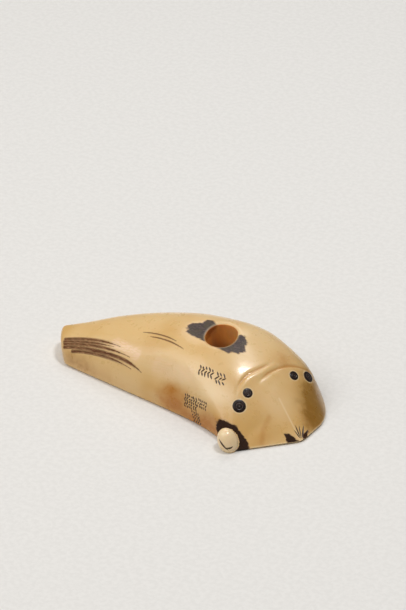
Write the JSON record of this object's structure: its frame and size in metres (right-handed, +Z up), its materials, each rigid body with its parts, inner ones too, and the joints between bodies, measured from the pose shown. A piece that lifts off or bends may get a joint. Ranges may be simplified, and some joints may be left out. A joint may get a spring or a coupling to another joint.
{
  "type": "netsuke",
  "caption": "Carved ivory-coloured toggle in the form of a sleek reclining animal with its head turned, inlaid dark eyes and a cord hole.",
  "frame": {"origin": "middle of the underside's bounding box, on the surface that it lies on", "axes": "+X towards the head end, along the body; +Y to the far side, away from the forepaw; +Z up"},
  "size_m": [0.0652, 0.034, 0.0151],
  "materials": {
    "ivory": "hand-polished ivory with an amber patina and brown stain in the cuts",
    "horn": "polished dark horn"
  },
  "bodies": {
    "root": {"body": "ivory", "eye_right_outer": "horn", "eye_right_inner": "horn", "eye_left_inner": "horn", "eye_left_outer": "horn"}
  },
  "joints": []
}
